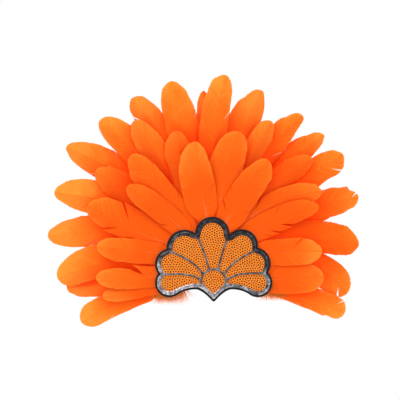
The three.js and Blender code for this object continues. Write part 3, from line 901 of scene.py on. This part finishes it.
def distance_to(points, loop):
    """Distance from each point to the nearest of a loop's points."""
    nearest = np.full(len(points), np.inf)
    for part in np.array_split(loop, max(1, len(loop) // DISTANCE_CHUNK)):
        gap = np.linalg.norm(points[:, None] - part[None], axis=-1).min(1)
        nearest = np.minimum(nearest, gap)
    return nearest


def inside(points, loop):
    """Whether each point lies inside a closed loop, by counting the edges to its right."""
    found = np.zeros(len(points), bool)
    for start, end in zip(loop, np.roll(loop, -1, axis=0)):
        crosses = (start[1] > points[:, 1]) != (end[1] > points[:, 1])
        rise = end[1] - start[1] if end[1] != start[1] else LEAST_RISE
        meets = start[0] + (points[:, 1] - start[1]) / rise * (end[0] - start[0])
        found ^= crosses & (points[:, 0] < meets)
    return found


def filled(loop, pitch):
    """Triangles that fill a loop, on a grid of points at a pitch. The loop's own points come first."""
    low, high = loop.min(0), loop.max(0)
    across = np.arange(low[0] + pitch / 2, high[0], pitch)
    upright = np.arange(low[1] + pitch / 2, high[1], pitch)
    grid = np.array([(x + pitch / 2 * (row % 2), z) for row, z in enumerate(upright) for x in across])
    grid = grid[inside(grid, loop)]
    grid = grid[distance_to(grid, loop) > pitch / 2]
    points = np.vstack((loop, grid))
    count = len(loop)
    edges = [(i, (i + 1) % count) for i in range(count)]
    found = delaunay_2d_cdt([Vector(point) for point in points], edges, [], 0, FILL_TOLERANCE, False)
    flat = np.array([tuple(point) for point in found[0]])
    faces = np.array([list(face) for face in found[2]])
    faces = faces[inside(flat[faces].mean(1), loop)]
    a, b, c = (flat[faces[:, corner]] for corner in range(3))
    turn = (b[:, 0] - a[:, 0]) * (c[:, 1] - a[:, 1]) - (b[:, 1] - a[:, 1]) * (c[:, 0] - a[:, 0])
    faces[turn < 0] = faces[turn < 0][:, ::-1]
    return flat, faces


def welded(points, faces):
    """Merges points that coincide and drops faces that this folds up."""
    kept, place = coinciding(points, FELT_WELD_DECIMALS)
    clean = []
    for face in faces:
        corners = list(dict.fromkeys(place[list(face)].tolist()))
        if len(corners) > 2:
            clean.append(corners)
    return Shape(points[kept], clean, {})


def felt_sheet(inset, rear, front, rng):
    """A felt plate with rounded edges and slightly lumpy faces."""
    turn = np.linspace(0, math.pi / 2, FELT_ROUND_STEPS + 1)
    drawn_in = FELT_ROUNDING * (1 - np.sin(turn))
    eased = FELT_ROUNDING * (1 - np.cos(turn))
    steps = list(zip(drawn_in, rear - eased)) + list(zip(drawn_in[::-1], front + eased[::-1]))
    rings = np.array([at_depth(patch_outline(inset + draw), depth) for draw, depth in steps])
    wall = ring_tube(rings, {})
    points = [wall.points]
    faces = wall.faces[:-2]  # all but its end caps
    start = len(points[0])
    for depth, flip in ((rear, True), (front, False)):
        flat, fill = filled(patch_outline(inset + FELT_ROUNDING), FILL_PITCH)
        points.append(at_depth(flat, depth))
        faces.extend(((fill[:, ::-1] if flip else fill) + start).tolist())
        start += len(flat)
    shape = welded(np.vstack(points), faces)
    lumps = ripple(shape.points[:, 0], shape.points[:, 2], FELT_LUMP_LENGTH, rng)
    shape.points[:, 1] += FELT_LUMPS * lumps
    return shape


def core_outline(bulge):
    """The core's outline, a rectangle with round corners, let out by a bulge."""
    middle = (CORE_TOP + CORE_BOTTOM) / 2
    across = CORE_HALF_WIDTH + bulge - CORE_CORNER
    upright = (CORE_TOP - CORE_BOTTOM) / 2 + bulge - CORE_CORNER
    corners = []
    for quarter, (right, up) in enumerate(((1, 1), (-1, 1), (-1, -1), (1, -1))):
        start = quarter * FULL_TURN / 4
        centre = (right * across, middle + up * upright)
        corners.append(arc(centre, CORE_CORNER, start, start + FULL_TURN / 4))
    return np.vstack(corners)


def felt_core():
    """The stack of felt in the middle of the backing, a block with softened edges."""
    rear = -FELT
    front = PATCH_REAR + GAP
    rings = []
    for share in np.linspace(0, 1, CORE_STEPS):
        bulge = CORE_BULGE * (math.sin(math.pi * share) - 1)
        rings.append(at_depth(core_outline(bulge), rear + (front - rear) * share))
    return ring_tube(np.array(rings), {})


def make_felt(material):
    rng = np.random.default_rng(SEED)
    backing = joined([felt_sheet(BACKING_INSET, 0, -FELT, rng), felt_core()])
    make_piece("backing", backing, material, "felt_backing")
    front = felt_sheet(0, PATCH_REAR, PATCH_REAR - FELT, rng)
    make_piece("patch_edge", front, material, "patch_felt")


# Foil and sequins


def front_outline(node):
    """The outline of a solid's front face as an ordered loop of (x, z) in millimetres."""
    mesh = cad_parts[node].data
    corners = np.array([vertex.co for vertex in mesh.vertices]) / MM
    kept, place = coinciding(corners, SOLID_WELD_DECIMALS)
    edges = {}
    for polygon in mesh.polygons:
        if polygon.normal.y <= FRONT_FACING:
            loop = place[list(polygon.vertices)].tolist()
            edges.update(dict.fromkeys(zip(loop, loop[1:] + loop[:1])))
    following = {start: end for start, end in edges if (end, start) not in edges}
    order = [next(iter(following))]
    while following[order[-1]] != order[0]:
        order.append(following[order[-1]])
    return corners[kept][order][:, [0, 2]]


def even_loop(loop, step, smoothing):
    """A loop resampled at an even step, with its facets smoothed away."""
    closed = np.vstack((loop, loop[:1]))
    length = distance_along(closed)[-1]
    even = points_at(closed, np.linspace(0, length, int(length / step), endpoint=False))
    for _ in range(smoothing):
        even = (np.roll(even, 1, axis=0) + 2 * even + np.roll(even, -1, axis=0)) / 4
    return even


def with_room(chosen, places, room):
    """Adds to the chosen places those that keep clear of all the others."""
    for place in places:
        if not len(chosen) or np.linalg.norm(chosen - place, axis=1).min() > room:
            chosen = np.vstack((chosen, place))
    return chosen


def inward_of(loop):
    """Unit vectors that point into a loop from each of its points."""
    way = unit(np.roll(loop, -1, axis=0) - np.roll(loop, 1, axis=0))
    inward = np.column_stack((-way[:, 1], way[:, 0]))
    return inward if inside(loop[:1] + inward[:1], loop)[0] else -inward


def settled(places, loop, inward):
    """Pushes places apart until they lie evenly, and keeps them a margin away from the loop."""
    for _ in range(SETTLE_ROUNDS):
        apart = places[:, None] - places[None]
        gap = np.linalg.norm(apart, axis=-1)
        np.fill_diagonal(gap, np.inf)
        push = np.maximum(0, SEQUIN_PITCH * SETTLE_REACH - gap) / gap
        places = places + SETTLE_SHARE * (apart * push[..., None]).sum(1)
        nearest = np.linalg.norm(places[:, None] - loop[None], axis=-1).argmin(1)
        depth = ((places - loop[nearest]) * inward[nearest]).sum(1)
        places = places + np.maximum(0, SEQUIN_MARGIN - depth)[:, None] * inward[nearest]
    return places


def sequin_places(loop):
    """Places of sequins in rows that run parallel to a field's outline, from the outside in."""
    inward = inward_of(loop)
    chosen = np.empty((0, 2))
    for row in range(SEQUIN_ROWS):
        inset = SEQUIN_MARGIN + row * SEQUIN_PITCH * SEQUIN_ROW_STEP
        line = loop + inset * inward
        line = line[inside(line, loop)]
        line = line[distance_to(line, loop) > inset - SEQUIN_ROW_SLACK] if len(line) else line
        chosen = with_room(chosen, line, SEQUIN_PITCH * SEQUIN_ROOM)
    return settled(chosen, loop, inward)


def copies_at(places, points):
    """Copies of a small shape's points, one on the cloth at each place."""
    copies = np.repeat(points[None], len(places), axis=0)
    copies[..., 0] += places[:, :1]
    copies[..., 1] += SEQUIN_REAR - GROUND - SEQUIN_TILT
    copies[..., 2] += places[:, 1:]
    return copies


def sequin_cups(places, rng):
    """Cup sequins with a hole in the middle, each tilted a little its own way."""
    profile = np.array((
        (SEQUIN_HOLE, 0),
        (SEQUIN_FLAT, 0),
        (SEQUIN_RADIUS, SEQUIN_CUP),
        (SEQUIN_RADIUS, SEQUIN_CUP + SEQUIN_SKIN),
        (SEQUIN_FLAT, SEQUIN_SKIN),
        (SEQUIN_HOLE, SEQUIN_SKIN),
    ))
    angle = turns(SEQUIN_SIDES)
    radius, height = profile[:, None, 0], profile[:, None, 1]
    cup = np.stack((radius * np.cos(angle), -height + 0 * angle, radius * np.sin(angle)), -1).reshape(-1, 3)
    ring = np.arange(len(profile))[:, None] * SEQUIN_SIDES
    next_ring = np.roll(ring, -1, axis=0)
    corner = np.arange(SEQUIN_SIDES)[None, :]
    beside = (corner + 1) % SEQUIN_SIDES
    quads = np.stack((ring + corner, next_ring + corner, next_ring + beside, ring + beside), -1)
    tilt = rng.normal(0, SEQUIN_TILT, (len(places), 2))
    points = copies_at(places, cup)
    points[..., 1] += tilt[:, :1] * cup[:, 0] + tilt[:, 1:] * cup[:, 2]
    quads = quads.reshape(-1, 4)[None] + (np.arange(len(places)) * len(cup))[:, None, None]
    return Shape(points.reshape(-1, 3), quads.reshape(-1, 4).tolist(), {})


def hole_knots_painted_dark(places):
    """A low cone in the hole of each sequin: the thread, painted dark as the hole's shade."""
    angle = turns(SEQUIN_SIDES)
    ring = np.column_stack((SEQUIN_HOLE * np.cos(angle), 0 * angle, SEQUIN_HOLE * np.sin(angle)))
    knot = np.vstack((ring, (0, -KNOT_HEIGHT, 0)))
    faces = []
    for start in range(0, len(places) * len(knot), len(knot)):
        tip = start + SEQUIN_SIDES
        corners = list(range(start, tip))
        faces.extend([[a, b, tip] for a, b in zip(corners, corners[1:] + corners[:1])])
        faces.append(corners[::-1])
    return Shape(copies_at(places, knot).reshape(-1, 3), faces, {})


def ground_sheet(loop):
    """The cloth that a field's sequins are sewn to."""
    flat, faces = filled(loop, FILL_PITCH)
    return thin_shell(at_depth(flat, SEQUIN_REAR - GROUND / 2), faces, GROUND, {})


def make_sequins(loops, material):
    for number, (node, loop) in enumerate(loops.items()):
        rng = np.random.default_rng(SEQUIN_SEED + number)
        places = sequin_places(loop)
        shapes = [hole_knots_painted_dark(places), ground_sheet(loop), sequin_cups(places, rng)]
        shape = joined(shapes)
        shape.marks["cup"] = np.repeat(SEQUIN_MARKS, [len(part.points) for part in shapes])
        make_piece(node.replace("sequin", "sequins"), shape, material, node)


def make_foil(loops, material):
    """One foil plate, crowned along its rim and along the lines between the sequin fields."""
    rng = np.random.default_rng(FOIL_SEED)
    outline = patch_outline(FOIL_INSET + FOIL_TRIM)
    flat, faces = filled(outline, FOIL_PITCH)
    to_rim = distance_to(flat, even_loop(outline, LOOP_STEP, 0))
    to_field = np.full(len(flat), np.inf)
    for loop in loops.values():
        gap = distance_to(flat, loop)
        gap[inside(flat, loop)] = 0
        to_field = np.minimum(to_field, gap)
    width = np.minimum(to_rim + to_field, FOIL_FULL_WIDTH)
    share = np.clip(2 * np.minimum(to_rim + FOIL_EDGE, to_field) / width, 0, 1)
    crown = FOIL_CROWN * np.sqrt(1 - (1 - share) ** 2)
    crinkle = FOIL_CRINKLE * ripple(flat[:, 0], flat[:, 1], FOIL_CRINKLE_LENGTH, rng) * (share > 0)
    points = at_depth(flat, FOIL_REAR - FOIL / 2 - crown - crinkle)
    marks = {"line": smoothstep(to_rim, *FOIL_LINE)}
    make_piece("foil", thin_shell(points, faces, FOIL, marks), material, "foil_layer")


# Elastic


def catmull_rom(points, steps):
    """An even run of points on a smooth curve through the given ones."""
    ends = np.vstack((2 * points[0] - points[1], points, 2 * points[-1] - points[-2]))
    made = []
    for a, b, c, d in zip(ends, ends[1:], ends[2:], ends[3:]):
        for share in np.linspace(0, 1, CURVE_STEPS, endpoint=False):
            slope_in = (c - a) / 2
            slope_out = (d - b) / 2
            square, cube = share ** 2, share ** 3
            made.append(
                (2 * cube - 3 * square + 1) * b + (cube - 2 * square + share) * slope_in
                + (3 * square - 2 * cube) * c + (cube - square) * slope_out
            )
    made = np.array(made + [points[-1]])
    return points_at(made, np.linspace(0, distance_along(made)[-1], steps + 1))


def elastic_band():
    sewn = GAP + ELASTIC_THICKNESS / 2
    half = [(x, sweep(x) + sewn + lift) for x, lift in ELASTIC_TAB] + ELASTIC_COURSE
    course = np.array(half + [(-x, y) for x, y in half[-2::-1]], float)
    path = catmull_rom(course, ELASTIC_STEPS)
    way = unit(np.gradient(path, axis=0))
    outward = np.column_stack((way[:, 1], -way[:, 0]))
    height = np.linspace(0, 1, ELASTIC_ACROSS)
    edge = np.sqrt(np.clip(1 - np.abs(2 * height - 1) ** ELASTIC_EDGE_POWER, 0, 1))
    ribs = 1 - ELASTIC_RIB_DEPTH * (1 + np.cos(FULL_TURN * ELASTIC_RIBS * height)) / 2
    bulge = ELASTIC_THICKNESS / 2 * np.maximum(edge * ribs, ELASTIC_EDGE_LEAST)
    aside = np.concatenate((bulge, -bulge[::-1]))
    level = ELASTIC_BOTTOM + (ELASTIC_TOP - ELASTIC_BOTTOM) * np.concatenate((height, height[::-1]))
    rings = np.stack((
        path[:, None, 0] + aside * outward[:, None, 0],
        path[:, None, 1] + aside * outward[:, None, 1],
        np.repeat(level[None], len(path), axis=0),
    ), -1)
    return ring_tube(rings, {})


def make_elastic(material):
    make_piece("elastic", elastic_band(), material, "elastic_loop", bend=False)


# Materials


class Surface:
    """A material that is put together from nodes."""

    def __init__(self, name):
        self.material = bpy.data.materials.new(name)
        self.material.use_nodes = True
        self.material.node_tree.nodes.clear()

    def node(self, kind, inputs, **settings):
        """Adds a node. An input is a value to set or another node's output to link."""
        tree = self.material.node_tree
        made = tree.nodes.new(kind)
        for key, value in settings.items():
            setattr(made, key, value)
        for key, value in inputs.items():
            if isinstance(value, bpy.types.NodeSocket):
                tree.links.new(value, made.inputs[key])
            else:
                made.inputs[key].default_value = value
        return made

    def place(self):
        return self.node("ShaderNodeTexCoord", {}).outputs["Object"]

    def mark(self, name):
        return self.node("ShaderNodeAttribute", {}, attribute_name=name).outputs["Fac"]

    def math(self, operation, *values):
        return self.node("ShaderNodeMath", dict(enumerate(values)), operation=operation).outputs[0]

    def times(self, first, second):
        return self.math("MULTIPLY", first, second)

    def plus(self, first, second):
        return self.math("ADD", first, second)

    def noise(self, place, scale, detail):
        inputs = {"Vector": place, "Scale": scale, "Detail": detail}
        return self.node("ShaderNodeTexNoise", inputs).outputs["Fac"]

    def ramp(self, value, stops):
        """A colour that runs through stops of (value, colour). A bare number is a grey."""
        made = self.node("ShaderNodeValToRGB", {"Fac": value})
        elements = made.color_ramp.elements
        for position, _ in stops[2:]:
            elements.new(position)
        for element, (position, colour) in zip(elements, stops):
            element.position = position
            element.color = (*np.broadcast_to(colour, 3).tolist(), 1)
        return made.outputs["Color"]

    def mix(self, share, first, second, blend="MIX"):
        inputs = {0: share, 6: first, 7: second}
        return self.node("ShaderNodeMix", inputs, data_type="RGBA", blend_type=blend).outputs[2]

    def bump(self, height, strength, distance):
        inputs = {"Height": height, "Strength": strength, "Distance": distance}
        return self.node("ShaderNodeBump", inputs).outputs["Normal"]

    def principled(self, inputs):
        return self.node("ShaderNodeBsdfPrincipled", inputs).outputs[0]

    def finished(self, shader):
        self.node("ShaderNodeOutputMaterial", {"Surface": shader})
        return self.material


def paleness_with_painted_light(plume_nodes, along, across, barb, tone_and_painted_light):
    """How pale the colour is: paler along the vane and painted paler at its edge as painted light, shifted by
    each feather's tone and painted layer light, with streaks and slow drifts.
    """
    sizes = zip("XYZ", (barb, across, tone_and_painted_light), STREAK_SIZE)
    streaks = plume_nodes.node("ShaderNodeCombineXYZ", {axis: plume_nodes.times(mark, size) for axis, mark, size in sizes})
    streak = plume_nodes.math("SUBTRACT", plume_nodes.noise(streaks.outputs[0], *STREAK_NOISE), 0.5)
    drift = plume_nodes.math("SUBTRACT", plume_nodes.noise(plume_nodes.place(), *DRIFT_NOISE), 0.5)
    varied = plume_nodes.math("MULTIPLY_ADD", streak, STREAK_DEPTH, tone_and_painted_light)
    varied = plume_nodes.math("MULTIPLY_ADD", drift, DRIFT_DEPTH, varied)
    # painted light: the vane's edge is painted paler
    square = plume_nodes.times(across, across)
    edge = plume_nodes.times(plume_nodes.times(square, square), PAINTED_EDGE_LIGHT)
    return plume_nodes.plus(plume_nodes.plus(along, edge), varied)


def feather_material():
    # the feather's dye, with painted shade and painted light in its colour
    plume_nodes = Surface("feather_dye_and_painted_light")
    along, across, barb, quill, tone_and_painted_light = map(plume_nodes.mark, ("along", "across", "barb", "quill", "tone_and_painted_light"))
    shade = paleness_with_painted_light(plume_nodes, along, across, barb, tone_and_painted_light)
    # painted shade: the colour darkens towards the painted shade colours where other feathers lie in front
    painted_shade_share = plume_nodes.times(plume_nodes.mark("painted_shade"), PAINTED_SHADE_DEPTH)
    bare = plume_nodes.ramp(quill, BARE_DYE)
    fading = plume_nodes.math("POWER", plume_nodes.math("SUBTRACT", 1, along), 2)
    stripped = plume_nodes.times(plume_nodes.math("MINIMUM", plume_nodes.times(quill, 2), 1), fading)
    front = plume_nodes.mix(painted_shade_share, plume_nodes.ramp(shade, FRONT_DYE), PAINTED_SHADE_FRONT)
    through = plume_nodes.mix(painted_shade_share, plume_nodes.ramp(shade, THROUGH_DYE), PAINTED_SHADE_THROUGH)
    barbules = plume_nodes.math("SINE", plume_nodes.times(barb, FULL_TURN * BARBULES))
    body = plume_nodes.principled({
        "Base Color": plume_nodes.mix(stripped, front, bare),
        "Roughness": 0.6,
        "Specular IOR Level": 0.15,
        "Specular Tint": SHEEN_TINT,
        "Normal": plume_nodes.bump(barbules, *FEATHER_BUMP),
    })
    glow = plume_nodes.node("ShaderNodeBsdfTranslucent", {"Color": plume_nodes.mix(stripped, through, bare)}).outputs[0]
    return plume_nodes.finished(plume_nodes.node("ShaderNodeMixShader", {"Fac": TRANSLUCENCE, 1: body, 2: glow}).outputs[0])


def felt_material():
    felt = Surface("black_felt")
    place = felt.place()
    fibre = felt.noise(place, *FIBRE_NOISE)
    patchy = felt.times(felt.plus(felt.noise(place, *PATCHY_NOISE), fibre), 0.5)
    return felt.finished(felt.principled({
        "Base Color": felt.ramp(patchy, FELT_BLACKS),
        "Roughness": 0.95,
        "Specular IOR Level": 0.1,
        "Sheen Weight": 0.12,
        "Normal": felt.bump(fibre, *FELT_BUMP),
    }))


def foil_material():
    foil = Surface("gunmetal_foil")
    place = foil.place()
    axes = foil.node("ShaderNodeSeparateXYZ", {0: place}).outputs
    # painted light: the foil is painted paler towards the lower left
    lower = foil.times(axes["Z"], FOIL_PAINTED_LIGHT_UP)
    lower_left = foil.math("MULTIPLY_ADD", axes["X"], FOIL_PAINTED_LIGHT_RIGHT, lower)
    patches_and_painted_light = foil.plus(foil.noise(place, *FOIL_PATCHES), lower_left)
    silver = foil.mix(foil.mark("line"), foil.ramp(patches_and_painted_light, FOIL_GREYS), FOIL_LINE_GREY)
    tint = foil.ramp(foil.noise(place, *FOIL_TINTING), FOIL_TINTS)
    # painted highlights and shade of crumples
    painted_crumple_light = foil.ramp(foil.noise(place, *FOIL_CRUMPLING), FOIL_PAINTED_CRUMPLE_LIGHT)
    colour = foil.mix(1, foil.mix(1, silver, tint, "MULTIPLY"), painted_crumple_light, "MULTIPLY")
    return foil.finished(foil.principled({
        "Base Color": colour,
        "Metallic": 0.95,
        "Roughness": foil.ramp(foil.noise(place, *FOIL_SPECKS), FOIL_ROUGHNESS),
        "Normal": foil.bump(foil.noise(place, *FOIL_WRINKLES), *FOIL_BUMP),
    }))


def sequin_material():
    sequin = Surface("orange_sequins")
    place = sequin.place()
    cup = sequin.mark("cup")
    varied = sequin.ramp(sequin.noise(place, *SEQUIN_PATCHES), SEQUIN_ORANGES)
    is_cup = sequin.math("GREATER_THAN", cup, CUP_LEAST)
    return sequin.finished(sequin.principled({
        "Base Color": sequin.mix(is_cup, sequin.ramp(cup, UNDER_SEQUINS), varied),
        "Roughness": sequin.ramp(sequin.noise(place, *SEQUIN_SPECKS), SEQUIN_ROUGHNESS),
        "Specular IOR Level": 0.2,
    }))


def elastic_material():
    elastic = Surface("woven_elastic")
    place = elastic.place()
    threads = {"Vector": place, "Scale": WEAVE_SCALE, "Distortion": 1}
    weave = elastic.node("ShaderNodeTexWave", threads, bands_direction="Z").outputs["Fac"]
    return elastic.finished(elastic.principled({
        "Base Color": elastic.ramp(elastic.noise(place, *ELASTIC_NOISE), ELASTIC_BLACKS),
        "Roughness": 0.8,
        "Specular IOR Level": 0.25,
        "Normal": elastic.bump(weave, *ELASTIC_BUMP),
    }))


def floor_material():
    floor = Surface("pale_floor")
    return floor.finished(floor.principled({
        "Base Color": FLOOR_WHITE,
        "Roughness": 0.9,
        "Specular IOR Level": 0.1,
    }))


# Stage


def make_floor():
    mesh = bpy.data.meshes.new("floor")
    corners = [(x * FLOOR_HALF, y * FLOOR_HALF, FLOOR_Z) for x, y in ((-1, -1), (1, -1), (1, 1), (-1, 1))]
    mesh.from_pydata(corners, [], [(0, 1, 2, 3)])
    mesh.materials.append(floor_material())
    floor = placed("floor", mesh)


def add_area_light(name, place, target, size, power):
    light = bpy.data.lights.new(name, "AREA")
    light.size = size
    light.energy = power
    lamp = placed(name, light)
    lamp.location = place
    lamp.visible_camera = False
    lamp.rotation_mode = "QUATERNION"
    lamp.rotation_quaternion = (Vector(target) - Vector(place)).to_track_quat("-Z", "Y")


def make_world():
    """Soft light from all round. The camera sees it as a white background."""
    world = bpy.data.worlds.new("studio")
    world.use_nodes = True
    nodes = world.node_tree.nodes
    links = world.node_tree.links
    seen = nodes.new("ShaderNodeLightPath").outputs["Is Camera Ray"]
    strength = nodes.new("ShaderNodeMapRange")
    strength.inputs["To Min"].default_value = SKY_STRENGTH
    strength.inputs["To Max"].default_value = 1
    links.new(seen, strength.inputs["Value"])
    nodes["Background"].inputs["Color"].default_value = (1, 1, 1, 1)
    links.new(strength.outputs["Result"], nodes["Background"].inputs["Strength"])
    bpy.context.scene.world = world


def make_light():
    make_world()
    middle = (0, 0, VIEW_Z)
    for name, place, size, power in LIGHTS:
        add_area_light(name, place, middle, size, power)
    bpy.context.scene.view_settings.view_transform = "Standard"


def make_camera():
    lens = bpy.data.cameras.new("camera")
    lens.sensor_width = SENSOR
    lens.lens = SENSOR * VIEW_DISTANCE / VIEW_WIDTH
    lens.clip_end = CLIP_END
    camera = placed("camera", lens)
    camera.location = (VIEW_X, VIEW_PLANE_Y - VIEW_DISTANCE, VIEW_Z)
    camera.rotation_euler = (math.pi / 2, 0, 0)
    bpy.context.scene.camera = camera


def main():
    make_camera()
    make_light()
    make_floor()
    make_feathers(feather_material())
    make_felt(felt_material())
    loops = {node: even_loop(front_outline(node), LOOP_STEP, LOOP_SMOOTHING) for node in SEQUIN_NODES}
    make_sequins(loops, sequin_material())
    make_foil(loops, foil_material())
    make_elastic(elastic_material())


main()
